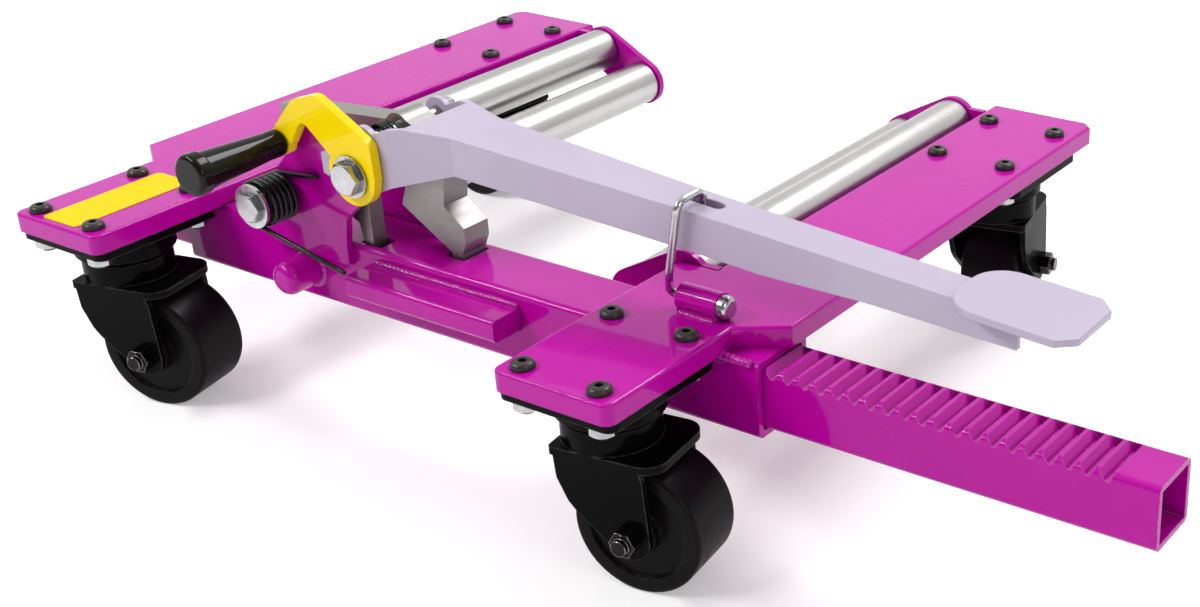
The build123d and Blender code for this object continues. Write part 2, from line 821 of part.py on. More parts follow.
def pedal_pad():
    slope = math.atan(pedal_fall)
    seat = Plane(
        origin=(pad_left, beam_y, pedal_top(pad_left)),
        x_dir=(math.cos(slope), 0, -math.sin(slope)),
        z_dir=(math.sin(slope), 0, math.cos(slope)),
    )
    half = pad_width / 2
    points = [
        (0, -half),
        (pad_length - pad_corner_cut, -half),
        (pad_length, pad_corner_cut - half),
        (pad_length, half - pad_corner_cut),
        (pad_length - pad_corner_cut, half),
        (0, half),
    ]
    rounds = [pad_round] + [pad_corner_round] * 4 + [pad_round]
    outline = FilletPolyline(*points, radius=rounds, close=True)
    pad = extrude(make_face(outline), amount=pad_sheet)
    pad = fillet(pad.faces().sort_by(Axis.Z)[-1].edges(), pad_sheet / 4)
    return seat * pad


def pawl_pin():
    pin = rod_y(pin_x, pin_z, pedal_front_y, pedal_rear_y + pawl_pin_nut + pawl_pin_tail, pawl_pin_d)
    nut = along_y(pin_x, pedal_rear_y, pin_z) * hexagon(pawl_pin_flats, pawl_pin_nut)
    nut = nut - rod_y(pin_x, pin_z, pedal_rear_y, pedal_rear_y + pawl_pin_nut, pawl_pin_d)
    return group([pin, nut])


def pawl_tip(x):
    # Tip that lies in the valley whose holding face starts at x, from right to left
    lift = tip_gap * tooth_face / tooth_depth
    ramp = tooth_pitch - tooth_crest - tooth_face - tooth_root
    low = inner_top - tooth_depth + tip_gap
    return [
        (x - tip_gap, inner_top),
        (x - tip_gap - tooth_face + lift, low),
        (x - tooth_face - tooth_root + tip_gap, low),
        (x - tooth_face - tooth_root - ramp + 2 * tip_gap, inner_top + tip_gap),
    ]


def drive_pawl():
    y0 = drive_pawl_front
    y1 = drive_pawl_front + drive_pawl_width
    points = [
        (pin_x, pin_z - pawl_eye_d / 2),
        (pin_x, pin_z + pawl_eye_d / 2),
        *from_pivot(drive_brow),
        *[(drive_tip_x + x, beam_top + z) for x, z in drive_nose],
        (drive_tip_x - tip_gap, beam_top + drive_tip_rise),
        *pawl_tip(drive_tip_x),
        *[(drive_tip_x + x, beam_top + z) for x, z in drive_chin],
        *from_pivot(drive_throat),
    ]
    pawl = upright(points, y0, y1) + rod_y(pin_x, pin_z, y0, y1, pawl_eye_d)
    tail_z = pin_z - drive_tail_drop
    half = drive_tail_height / 2
    tail = [
        (pin_x, pin_z - half),
        (pin_x, pin_z + half),
        (pin_x - drive_tail_reach, tail_z + half),
        (pin_x - drive_tail_reach, tail_z - half),
    ]
    pawl = pawl + upright(tail, y0 + drive_tail_inset, y1 - drive_tail_inset / 2)
    return pawl - rod_y(pin_x, pin_z, y0, y1, pawl_pin_d + 2 * running_gap)


def holding_pawl():
    y0 = hold_pawl_front
    y1 = hold_pawl_front + hold_pawl_width
    right = hold_tip_x - tip_gap
    crown = spring_z + hold_pawl_crown
    points = [
        (spring_bolt_x, spring_z + pawl_eye_d / 2),
        (right - hold_brow, crown),
        (right, crown - hold_brow_drop),
        *pawl_tip(hold_tip_x),
        *[(right + x, beam_top + z) for x, z in hold_chin],
        (spring_bolt_x, spring_z - pawl_eye_d / 2),
    ]
    pawl = upright(points, y0, y1) + rod_y(spring_bolt_x, spring_z, y0, y1, pawl_eye_d)
    return pawl - rod_y(spring_bolt_x, spring_z, y0, y1, spring_bolt_d + 2 * running_gap)


def biarc(start, start_dir, finish, finish_dir):
    # Two tangent arcs that meet halfway between two points with given directions
    span = finish - start
    both = start_dir + finish_dir
    a = 2 * start_dir.dot(finish_dir) - 2
    b = -2 * span.dot(both)
    c = span.dot(span)
    reach = c / -b if abs(a) < 1e-9 else (-b - math.sqrt(b * b - 4 * a * c)) / (2 * a)
    first = start + start_dir * reach
    second = finish - finish_dir * reach
    middle = (first + second) / 2
    return [
        Edge.make_tangent_arc(start, start_dir, middle),
        Edge.make_tangent_arc(middle, second - first, finish),
    ]


def wound_spring(axis_x, axis_z, front_y, mean_d, wire, pitch, turns, front_leg, rear_leg):
    # One tube: a straight leg to the front of the coil, whole turns, and a straight leg from its rear.
    # Each leg is given by its free end from the axis and meets the coil on a tangent.
    radius = mean_d / 2

    def touch(leg, way):
        return math.atan2(leg[1], leg[0]) + way * math.acos(radius / math.hypot(*leg))

    begin = touch(front_leg, -1)
    stop = touch(rear_leg, 1)
    while stop > begin - 2 * math.pi * turns:
        stop -= 2 * math.pi
    steps = 4 * (turns + 1)
    weights = [0.5 if i in (0, steps - 1) else 1.0 for i in range(steps)]
    per_step = pitch * (begin - stop) / (2 * math.pi * steps)
    points = []
    y = front_y
    for i in range(steps + 1):
        angle = begin + (stop - begin) * i / steps
        rise = 0.0 if i in (0, steps) else per_step
        along = radius * (begin - stop) / steps
        spot = Vector(axis_x + radius * math.cos(angle), y, axis_z + radius * math.sin(angle))
        way = Vector(along * math.sin(angle), rise, -along * math.cos(angle)).normalized()
        points.append((spot, way))
        if i < steps:
            y += per_step * weights[i]
    free_front = Vector(axis_x + front_leg[0], front_y, axis_z + front_leg[1])
    free_rear = Vector(axis_x + rear_leg[0], y, axis_z + rear_leg[1])
    edges = [Edge.make_line(free_front, points[0][0])]
    for (here, here_way), (there, there_way) in zip(points, points[1:]):
        edges += biarc(here, here_way, there, there_way)
    edges.append(Edge.make_line(points[-1][0], free_rear))
    path = Wire(edges)
    section = Plane(origin=free_front, z_dir=points[0][0] - free_front) * Circle(wire / 2)
    spring = sweep(section, path=path)
    report_gap(path, wire, mean_d)
    return spring


def report_gap(path, wire, mean_d):
    # Least gap between the tube and itself, measured on points at least half a turn apart
    count = int(path.length / (wire / 2))
    spots = [path.position_at(i / count) for i in range(count + 1)]
    apart = int(math.pi * mean_d / 2 / (path.length / count))
    least = min(
        (spots[i] - spots[j]).length for i in range(len(spots)) for j in range(i + apart, len(spots))
    )
    print(f"spring of {wire} mm wire: least gap to itself {least - wire:.2f} mm")


def torsion_spring():
    lower = (spring_lower_x, spring_lower_z)
    upper = (spring_upper_x, spring_upper_z)
    return wound_spring(
        spring_bolt_x, spring_z, coil_front_y, spring_mean_d, spring_wire, spring_pitch, spring_turns,
        lower, upper)


def spring_bolt():
    flange_y = coil_front_y - spring_wire / 2 - side_gap - spring_flange
    inside = hold_pawl_front + hold_pawl_width + side_gap
    bolt = rod_y(spring_bolt_x, spring_z, flange_y, inside + spring_end, spring_bolt_d)
    bolt = bolt + rod_y(spring_bolt_x, spring_z, flange_y, flange_y + spring_flange, spring_flange_d)
    bolt = bolt + rod_y(spring_bolt_x, spring_z, flange_y, gusset_front_y, spring_collar_d)
    bolt = bolt + rod_y(spring_bolt_x, spring_z, inside, inside + spring_end, spring_end_d)
    return bolt + facing_front(spring_bolt_x, flange_y, spring_z) * hexagon(spring_head_flats, spring_head)


def return_spring():
    lower = (return_leg, -return_leg / 4)
    upper = (return_leg, return_leg / 8)
    return wound_spring(
        pin_x, pin_z, return_front, return_mean_d, return_wire, return_pitch, return_turns, lower, upper)


def hanger_peg():
    z = beam_top - peg_drop
    peg = rod_y(peg_x, z, outer_front - peg_length, outer_front, peg_d)
    return fillet(peg.edges().filter_by(GeomType.CIRCLE).sort_by(Axis.Y)[0], peg_round)


def foot_step():
    top = beam_top - step_drop
    near = outer_front - step_reach
    box = block(step_left, step_right, near, outer_front, top - step_height, top)
    box = fillet(box.edges().filter_by(Axis.X).group_by(Axis.Y)[0], step_round)
    return box - block(
        step_left + step_sheet, step_right - step_sheet, near + step_sheet, outer_front,
        top - step_height + step_sheet, top - step_sheet)


def latch_barrel():
    barrel = rod_x(latch_y, latch_z, latch_left, latch_right, latch_barrel_d)
    half = latch_foot / 2
    foot = block(latch_left, latch_right, latch_y - half, latch_y + half, deck_top, latch_z)
    return barrel + foot - rod_x(latch_y, latch_z, latch_left, latch_right, latch_wire + 2 * running_gap)


def latch_cap():
    diameter = latch_barrel_d - 2 * latch_cap_step
    cap = rod_x(latch_y, latch_z, latch_right, latch_right + latch_cap_length, diameter)
    return fillet(cap.edges().filter_by(GeomType.CIRCLE).sort_by(Axis.X)[-1], latch_cap_length / 2)


def wire_latch():
    # The hook hangs in the pedal's slot, and the foot stops short of the barrel so that it can leave it
    over_z = pedal_top(latch_hook_x) + latch_over + latch_wire / 2
    points = [
        (latch_left - latch_short, latch_y, latch_z),
        (latch_left - latch_arm_out, latch_y, latch_z),
        (latch_left + latch_knee_in, latch_arm_top_y, latch_z + latch_knee_rise),
        (latch_hook_x, latch_arm_top_y, over_z),
        (latch_hook_x, latch_hook_y, over_z),
        (latch_hook_x, latch_hook_y, pedal_top(latch_hook_x) - latch_into),
    ]
    path = FilletPolyline(*points, radius=[latch_foot_bend] + [latch_bend] * 3)
    section = Plane(origin=points[0], z_dir=(-1, 0, 0)) * Circle(latch_wire / 2)
    return sweep(section, path=path)


def deck_strip():
    outline = RectangleRounded(strip_width, strip_length, strip_corner)
    return extrude(Pos(-front_caster_x, strip_y, deck_top) * outline, amount=strip_sheet)


nodes = {
    "outer_tube": outer_tube(),
    "gusset_front": gusset_front(),
    "gusset_rear": gusset_rear(),
    "hanger_peg": hanger_peg(),
    "foot_step": foot_step(),
    "latch_barrel": latch_barrel(),
    "latch_cap": latch_cap(),
    "pivot_bolt": pivot_bolt(),
    "pivot_nut": pivot_nut(),
    "inner_tube": inner_tube(),
    "left_saddle": saddle(),
    "deck_strip": deck_strip(),
    "pedal_arm": pedal_arm(),
    "pedal_pad": pedal_pad(),
    "pawl_pin": pawl_pin(),
    "pawl_spring": return_spring(),
    "drive_pawl": drive_pawl(),
    "holding_pawl": holding_pawl(),
    "release_lever": release_lever(),
    "lever_grip": lever_grip(),
    "wire_latch": wire_latch(),
    "torsion_spring": torsion_spring(),
    "spring_bolt": spring_bolt(),
    "right_deck": deck(),
    "left_deck": notched_deck(),
}

for side in ("right", "left"):
    nodes[f"{side}_bracket_front"] = on_side(bracket(front_plate_y), side)
    nodes[f"{side}_bracket_rear"] = on_side(bracket(rear_plate_y), side)
    nodes[f"{side}_axles"] = on_side(group([roller_axle(x, z) for x, z in roller_axes()]), side)
    nodes[f"{side}_screws"] = on_side(group([button_screw(x, y) for x, y in bolt_places()]), side)
    nodes[f"{side}_nuts"] = on_side(group([lock_nut(x, y) for x, y in bolt_places()]), side)
    nodes[f"{side}_caster_plates"] = on_side(group([caster_plate(x, y) for x, y in caster_places()]), side)
    nodes[f"{side}_kingpins"] = on_side(group([kingpin(x, y) for x, y in caster_places()]), side)
    for place, (x, z) in zip(("outer", "inner"), roller_axes()):
        nodes[f"{side}_{place}_roller"] = on_side(roller(x, z), side)
        nodes[f"{side}_{place}_bushes"] = on_side(roller_bushes(x, z), side)

casters = {
    "front_right": (front_caster_x, 0.0, front_right_turn),
    "front_left": (-front_caster_x, 0.0, front_left_turn),
    "rear_right": (rear_caster_x, rear_caster_y, rear_right_turn),
    "rear_left": (-rear_caster_x, rear_caster_y, rear_left_turn),
}
for name, (x, y, turn) in casters.items():
    nodes[f"{name}_fork"] = swivelled(fork(), x, y, turn)
    nodes[f"{name}_axle"] = swivelled(caster_axle(), x, y, turn)
    nodes[f"{name}_wheel"] = swivelled(wheel(), x, y, turn)

# The origin is the point on the floor under the middle of the whole object
boxes = [shape.bounding_box() for shape in nodes.values()]
middle_x = (min(box.min.X for box in boxes) + max(box.max.X for box in boxes)) / 2
middle_y = (min(box.min.Y for box in boxes) + max(box.max.Y for box in boxes)) / 2
to_origin = Pos(-middle_x, -middle_y, -min(box.min.Z for box in boxes))
print("moved to the origin by", to_origin.position)

os.makedirs("parts", exist_ok=True)
for name, shape in nodes.items():
    export_step(to_origin * shape, f"parts/{name}.step")
print(len(nodes), "nodes")
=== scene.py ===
import json
import math

import bmesh
import bpy
from mathutils import Matrix, Vector


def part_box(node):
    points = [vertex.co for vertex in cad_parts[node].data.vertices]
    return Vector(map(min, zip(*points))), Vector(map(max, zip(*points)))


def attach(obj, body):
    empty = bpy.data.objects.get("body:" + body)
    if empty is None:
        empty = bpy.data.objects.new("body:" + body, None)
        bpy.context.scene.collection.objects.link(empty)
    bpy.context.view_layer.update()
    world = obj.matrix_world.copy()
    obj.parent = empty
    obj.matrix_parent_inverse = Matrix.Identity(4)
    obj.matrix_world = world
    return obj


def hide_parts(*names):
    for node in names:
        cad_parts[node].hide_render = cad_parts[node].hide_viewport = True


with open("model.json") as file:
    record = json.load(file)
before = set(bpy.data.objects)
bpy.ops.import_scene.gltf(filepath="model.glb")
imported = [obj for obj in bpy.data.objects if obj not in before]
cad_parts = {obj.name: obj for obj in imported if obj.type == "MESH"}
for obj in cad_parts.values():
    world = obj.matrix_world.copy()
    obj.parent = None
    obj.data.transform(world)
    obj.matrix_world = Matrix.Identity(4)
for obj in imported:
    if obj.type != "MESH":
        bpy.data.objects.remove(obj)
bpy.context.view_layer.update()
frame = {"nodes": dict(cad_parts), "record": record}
nodes = frame["nodes"]
scene = bpy.context.scene
white = (1.0, 1.0, 1.0, 1.0)
print("frame loaded,", len(nodes), "nodes")


# Small helpers for shader trees

nodeSpacing = 200  # nodes stand in a row, in the order they were made
mixSockets = {"FLOAT": (0, 2, 3, 0), "RGBA": (0, 6, 7, 2)}  # factor, first, second, result


def addNode(tree, kind, **settings):
    node = tree.nodes.new(kind)
    node.location.x = nodeSpacing * len(tree.nodes)
    for key, value in settings.items():
        setattr(node, key, value)
    return node


def feed(tree, socket, value):
    # Links a socket, or sets a plain value
    if isinstance(value, bpy.types.NodeSocket):
        tree.links.new(value, socket)
    else:
        socket.default_value = value


def mathNode(tree, operation, first, second, clamp=False):
    node = addNode(tree, "ShaderNodeMath", operation=operation, use_clamp=clamp)
    feed(tree, node.inputs[0], first)
    feed(tree, node.inputs[1], second)
    return node.outputs[0]


def vectorNode(tree, operation, *values):
    node = addNode(tree, "ShaderNodeVectorMath", operation=operation)
    for socket, value in zip(node.inputs, values):
        feed(tree, socket, value)
    return node.outputs


def mix(tree, kind, factor, first, second):
    node = addNode(tree, "ShaderNodeMix", data_type=kind, clamp_factor=True)
    *places, result = mixSockets[kind]
    for place, value in zip(places, (factor, first, second)):
        feed(tree, node.inputs[place], value)
    return node.outputs[result]


def mapRange(tree, value, span, out=(0.0, 1.0), kind="LINEAR"):
    node = addNode(tree, "ShaderNodeMapRange", interpolation_type=kind)
    for socket, entry in zip(node.inputs, (value, *span, *out)):
        feed(tree, socket, entry)
    return node.outputs[0]


def objectSpot(tree):
    return addNode(tree, "ShaderNodeTexCoord").outputs["Object"]


def noiseAt(tree, vector, scale, detail, roughness):
    node = addNode(tree, "ShaderNodeTexNoise")
    values = {"Vector": vector, "Scale": scale, "Detail": detail, "Roughness": roughness}
    for label, value in values.items():
        feed(tree, node.inputs[label], value)
    return node.outputs["Fac"]


def sizedNoise(tree, size, look):
    # Noise whose patches are about as large as the size, in metres
    scale = mathNode(tree, "DIVIDE", 1.0, size)
    return noiseAt(tree, objectSpot(tree), scale, look["detail"], look["roughness"])


def newGroup(name, inputs, outputs):
    # Inputs come with their standing values, outputs with the kind of their socket
    tree = bpy.data.node_groups.new(name, "ShaderNodeTree")
    for label, value in inputs.items():
        kind = "NodeSocketVector" if isinstance(value, tuple) else "NodeSocketFloat"
        socket = tree.interface.new_socket(label, in_out="INPUT", socket_type=kind)
        socket.default_value = value
    for label, kind in outputs.items():
        tree.interface.new_socket(label, in_out="OUTPUT", socket_type=kind)
    given = addNode(tree, "NodeGroupInput").outputs
    result = addNode(tree, "NodeGroupOutput").inputs
    return tree, given, result


def placeGroup(tree, group, **values):
    node = addNode(tree, "ShaderNodeGroup", node_tree=group)
    for label, value in values.items():
        feed(tree, node.inputs[label], value)
    return node.outputs


# Effects that several finishes share

edgeEffect = {"samples": 4, "turn": (0.995, 0.80)}  # cosines of the turn where an edge begins and is full
wearAndGlintEffect = {"detail": 5.0, "roughness": 0.65, "bias": 0.25, "contrast": 6.0}
peelEffect = {"detail": 1.0, "broadDetail": 2.0, "roughness": 0.55, "broadScale": 0.12, "broadHeight": 1.5}
mottleEffect = {"detail": 4.0, "roughness": 0.55, "span": (0.3, 0.7)}
dustEffect = {"detail": 6.0, "roughness": 0.7, "facingUp": (0.3, 1.0), "span": (0.42, 0.75)}
lineEffect = {"detail": 4.0, "roughness": 0.6}
paintedShadeEffect = {"samples": 6, "openness": (0.75, 0.15)}  # where a corner's painted shade begins and where it is darkest


def softEdgeGroup():
    tree, given, result = newGroup(
        "softEdge", {"Radius": 0.001}, {"Normal": "NodeSocketVector", "Edge": "NodeSocketFloat"})
    bevel = addNode(tree, "ShaderNodeBevel", samples=edgeEffect["samples"])
    feed(tree, bevel.inputs["Radius"], given["Radius"])
    rounded = bevel.outputs["Normal"]
    flat = addNode(tree, "ShaderNodeNewGeometry").outputs["Normal"]
    turn = vectorNode(tree, "DOT_PRODUCT", rounded, flat)["Value"]
    feed(tree, result["Normal"], rounded)
    feed(tree, result["Edge"], mapRange(tree, turn, edgeEffect["turn"]))
    return tree


# Mask along edges: wear, and in the fork and axle looks also painted highlight along the edges
def edgeWearAndGlintGroup():
    tree, given, result = newGroup(
        "edgeWearAndGlint", {"Edge": 0.0, "Amount": 0.5, "Patch": 0.012}, {"Mask": "NodeSocketFloat"})
    patches = sizedNoise(tree, given["Patch"], wearAndGlintEffect)
    patches = mathNode(tree, "ADD", patches, wearAndGlintEffect["bias"])
    spread = mathNode(tree, "MULTIPLY", given["Edge"], patches)
    limit = mathNode(tree, "SUBTRACT", 1.0, given["Amount"])
    over = mathNode(tree, "SUBTRACT", spread, limit)
    feed(tree, result["Mask"], mathNode(tree, "MULTIPLY", over, wearAndGlintEffect["contrast"], clamp=True))
    return tree


def orangePeelGroup():
    tree, given, result = newGroup("orangePeel", {"Size": 0.003}, {"Height": "NodeSocketFloat"})
    spot = objectSpot(tree)
    scale = mathNode(tree, "DIVIDE", 1.0, given["Size"])
    fine = noiseAt(tree, spot, scale, peelEffect["detail"], peelEffect["roughness"])
    broadScale = mathNode(tree, "MULTIPLY", scale, peelEffect["broadScale"])
    broad = noiseAt(tree, spot, broadScale, peelEffect["broadDetail"], peelEffect["roughness"])
    broad = mathNode(tree, "MULTIPLY", broad, peelEffect["broadHeight"])
    feed(tree, result["Height"], mathNode(tree, "ADD", fine, broad))
    return tree


def mottleGroup():
    tree, given, result = newGroup(
        "mottle", {"Size": 0.05, "Low": 0.0, "High": 1.0}, {"Value": "NodeSocketFloat"})
    cloud = sizedNoise(tree, given["Size"], mottleEffect)
    value = mapRange(tree, cloud, mottleEffect["span"], (given["Low"], given["High"]))
    feed(tree, result["Value"], value)
    return tree


def settledDustGroup():
    tree, given, result = newGroup(
        "settledDust", {"Amount": 0.1, "Size": 0.03}, {"Mask": "NodeSocketFloat"})
    parts = addNode(tree, "ShaderNodeSeparateXYZ")
    feed(tree, parts.inputs[0], addNode(tree, "ShaderNodeNewGeometry").outputs["Normal"])
    upward = mapRange(tree, parts.outputs["Z"], dustEffect["facingUp"])
    cloud = sizedNoise(tree, given["Size"], dustEffect)
    speck = mapRange(tree, cloud, dustEffect["span"])
    lying = mathNode(tree, "MULTIPLY", upward, speck)
    feed(tree, result["Mask"], mathNode(tree, "MULTIPLY", lying, given["Amount"], clamp=True))
    return tree


def drawnLinesGroup():
    tree, given, result = newGroup(
        "drawnLines", {"Stretch": (400.0, 400.0, 8.0)}, {"Line": "NodeSocketFloat"})
    stretched = vectorNode(tree, "MULTIPLY", objectSpot(tree), given["Stretch"])["Vector"]
    line = noiseAt(tree, stretched, 1.0, lineEffect["detail"], lineEffect["roughness"])
    feed(tree, result["Line"], line)
    return tree


# Painted shade: ambient occlusion darkens the base colour in corners, creases and recesses
def paintedShadeGroup():
    tree, given, result = newGroup("paintedShade", {"Reach": 0.02, "Amount": 0.5}, {"Mask": "NodeSocketFloat"})
    hidden = addNode(tree, "ShaderNodeAmbientOcclusion", samples=paintedShadeEffect["samples"])
    feed(tree, hidden.inputs["Distance"], given["Reach"])
    shadedShare = mapRange(tree, hidden.outputs["AO"], paintedShadeEffect["openness"])
    feed(tree, result["Mask"], mathNode(tree, "MULTIPLY", shadedShare, given["Amount"], clamp=True))
    return tree


softEdge = softEdgeGroup()
edgeWearAndGlint = edgeWearAndGlintGroup()
orangePeel = orangePeelGroup()
mottle = mottleGroup()
settledDust = settledDustGroup()
drawnLines = drawnLinesGroup()
paintedShade = paintedShadeGroup()
print("shared shader groups built")


# Finishes

def newMaterial(name):
    material = bpy.data.materials.new(name)
    material.use_nodes = True
    tree = material.node_tree
    return material, tree, tree.nodes["Principled BSDF"]


def setSockets(node, values):
    for label, value in values.items():
        node.inputs[label].default_value = value


def colour(values):
    return (*values, 1.0)


def bumped(tree, shader, height, strength, distance, normal):
    bump = addNode(tree, "ShaderNodeBump")
    setSockets(bump, {"Strength": strength, "Distance": distance})
    feed(tree, bump.inputs["Height"], height)
    feed(tree, bump.inputs["Normal"], normal)
    feed(tree, shader.inputs["Normal"], bump.outputs["Normal"])


def wearAndGlintMask(tree, look, edge):
    return placeGroup(
        tree, edgeWearAndGlint, Edge=edge["Edge"], Amount=look["wearAndGlintAmount"], Patch=look["wearAndGlintPatch"])["Mask"]


def dustMask(tree, look):
    return placeGroup(tree, settledDust, Amount=look["dust"], Size=look["dustSize"])["Mask"]


def paintedShadeMask(tree, look):
    return placeGroup(tree, paintedShade, Reach=look["paintedShadeReach"], Amount=look["paintedShade"])["Mask"]


def layColours(tree, shader, look, masks):
    # A clouded ground, with each masked colour laid over what is below it
    cloud = placeGroup(tree, mottle, Size=look["cloudSize"])["Value"]
    base = mix(tree, "RGBA", cloud, colour(look["colour"]), colour(look["deepColour"]))
    for name, mask in masks.items():
        base = mix(tree, "RGBA", mask, base, colour(look[name]))
    feed(tree, shader.inputs["Base Color"], base)


def paint(name, look):
    material, tree, shader = newMaterial(name)
    edge = placeGroup(tree, softEdge, Radius=look["edgeRadius"])
    wearAndGlintShare = wearAndGlintMask(tree, look, edge)
    # The recess layer is painted shade, darkening corners and recesses
    layColours(tree, shader, look, {
        "wearAndGlintColour": wearAndGlintShare, "dustColour": dustMask(tree, look), "paintedShadeColour": paintedShadeMask(tree, look)})
    smear = placeGroup(
        tree, mottle, Size=look["smearSize"], Low=look["gloss"], High=look["gloss"] + look["smear"])["Value"]
    dulled = mathNode(tree, "MULTIPLY", wearAndGlintShare, look["wearAndGlintRough"])
    feed(tree, shader.inputs["Roughness"], mathNode(tree, "ADD", smear, dulled))
    setSockets(shader, {
        "Specular IOR Level": look["specular"], "Coat Weight": look["coat"],
        "Coat Roughness": look["coatRough"], "Coat IOR": look["coatIor"]})
    height = placeGroup(tree, orangePeel, Size=look["peelSize"])["Height"]
    bumped(tree, shader, height, look["peel"], look["peelHeight"], edge["Normal"])
    return material


def metal(name, look):
    material, tree, shader = newMaterial(name)
    edge = placeGroup(tree, softEdge, Radius=look["edgeRadius"])
    # The recess layer is painted shade, darkening corners and recesses
    layColours(tree, shader, look, {
        "wearAndGlintColour": wearAndGlintMask(tree, look, edge), "paintedShadeColour": paintedShadeMask(tree, look)})
    line = placeGroup(tree, drawnLines, Stretch=look["stretch"])["Line"]
    feed(tree, shader.inputs["Roughness"], mapRange(tree, line, look["lineSpan"], look["rough"]))
    setSockets(shader, {"Metallic": look["metallic"], "Specular IOR Level": look["specular"]})
    bumped(tree, shader, line, look["lineDepth"], look["lineHeight"], edge["Normal"])
    return material


def moulded(name, look):
    material, tree, shader = newMaterial(name)
    edge = placeGroup(tree, softEdge, Radius=look["edgeRadius"])
    layColours(tree, shader, look, {
        "wearAndGlintColour": wearAndGlintMask(tree, look, edge), "dustColour": dustMask(tree, look)})
    low, high = look["rough"]
    smear = placeGroup(tree, mottle, Size=look["smearSize"], Low=low, High=high)["Value"]
    feed(tree, shader.inputs["Roughness"], smear)
    setSockets(shader, {
        "Specular IOR Level": look["specular"], "Coat Weight": look["coat"],
        "Coat Roughness": look["coatRough"]})
    grain = placeGroup(tree, orangePeel, Size=look["grainSize"])["Height"]
    bumped(tree, shader, grain, look["grain"], look["grainHeight"], edge["Normal"])
    return material


# In these looks the recess values set painted shade: how far, how strongly and to which colour corners and
# recesses are darkened
framePaintLook = {
    "colour": (0.49, 0.0006, 0.335), "deepColour": (0.45, 0.0005, 0.306), "cloudSize": 0.12,
    "edgeRadius": 0.0012, "wearAndGlintAmount": 0.26, "wearAndGlintPatch": 0.010, "wearAndGlintColour": (0.62, 0.12, 0.50),
    "wearAndGlintRough": 0.25, "dust": 0.010, "dustSize": 0.02, "dustColour": (0.55, 0.53, 0.52),
    "gloss": 0.26, "smear": 0.08, "smearSize": 0.03, "specular": 0.03,
    "coat": 0.7, "coatRough": 0.05, "coatIor": 1.34, "peel": 0.035, "peelSize": 0.0035, "peelHeight": 0.0004,
    "paintedShade": 0.55, "paintedShadeReach": 0.018, "paintedShadeColour": (0.10, 0.0004, 0.075),
}
slidePaintLook = {**framePaintLook, "wearAndGlintAmount": 0.40, "wearAndGlintPatch": 0.007, "wearAndGlintColour": (0.72, 0.36, 0.64)}
weldPaintLook = {**framePaintLook, "wearAndGlintAmount": 0.0, "coat": 1.0, "coatRough": 0.03, "coatIor": 1.5}
pedalPaintLook = {
    **framePaintLook, "colour": (0.50, 0.435, 0.560), "deepColour": (0.46, 0.40, 0.525),
    "wearAndGlintAmount": 0.25, "wearAndGlintColour": (0.60, 0.56, 0.63), "dust": 0.04, "gloss": 0.32, "specular": 0.2,
    "coat": 0.35, "coatRough": 0.16,
    "paintedShade": 0.9, "paintedShadeReach": 0.012, "paintedShadeColour": (0.035, 0.025, 0.040),
}
leverPaintLook = {
    **framePaintLook, "colour": (0.96, 0.72, 0.001), "deepColour": (0.93, 0.66, 0.001),
    "wearAndGlintAmount": 0.30, "wearAndGlintColour": (0.90, 0.70, 0.08), "gloss": 0.24, "coat": 0.5,
    "paintedShade": 0.3, "paintedShadeColour": (0.55, 0.27, 0.001),
}
forkPaintLook = {
    **framePaintLook, "colour": (0.0028, 0.0023, 0.0026), "deepColour": (0.0018, 0.0015, 0.0017),
    # The lighter worn edges here are partly paint wear and partly painted highlight, standing in for glints
    # along the fork's edges
    "edgeRadius": 0.0020, "wearAndGlintAmount": 0.43, "wearAndGlintColour": (0.12, 0.115, 0.117), "dust": 0.003,
    "gloss": 0.28, "smear": 0.10, "specular": 0.01, "coat": 0.16, "peel": 0.07, "peelSize": 0.0025,
    "paintedShade": 0.7, "paintedShadeColour": (0.0015, 0.0013, 0.0014),
}
stripLook = {
    "colour": (0.86, 0.61, 0.0008), "deepColour": (0.83, 0.57, 0.0008), "cloudSize": 0.03,
    "edgeRadius": 0.0003, "wearAndGlintAmount": 0.2, "wearAndGlintPatch": 0.006, "wearAndGlintColour": (0.80, 0.60, 0.05),
    "dust": 0.004, "dustSize": 0.015, "dustColour": (0.30, 0.28, 0.27),
    "rough": (0.26, 0.36), "smearSize": 0.012, "specular": 0.03, "coat": 0.03, "coatRough": 0.12,
    "grain": 0.03, "grainSize": 0.0012, "grainHeight": 0.0003,
}
gripLook = {
    **stripLook, "colour": (0.0045, 0.0036, 0.0030), "deepColour": (0.0075, 0.0060, 0.0050),
    "cloudSize": 0.02, "edgeRadius": 0.0008, "wearAndGlintColour": (0.02, 0.018, 0.016),
    "rough": (0.20, 0.30), "specular": 0.04, "coat": 0.30, "coatRough": 0.05, "grainSize": 0.0010,
}
bushLook = {
    **stripLook, "colour": (0.62, 0.60, 0.54), "deepColour": (0.56, 0.54, 0.48),
    "cloudSize": 0.02, "edgeRadius": 0.0006, "wearAndGlintColour": (0.45, 0.43, 0.39),
    "rough": (0.40, 0.52), "specular": 0.3, "coat": 0.0, "grainSize": 0.0015,
}
wheelLook = {
    **gripLook, "colour": (0.0042, 0.0034, 0.0040), "deepColour": (0.0065, 0.0053, 0.0061),
    "cloudSize": 0.03, "edgeRadius": 0.0040, "wearAndGlintAmount": 0.30, "wearAndGlintColour": (0.030, 0.027, 0.028),
    "dust": 0.008, "rough": (0.34, 0.50), "coat": 0.08, "coatRough": 0.18,
    "grain": 0.08, "grainSize": 0.0018,
}
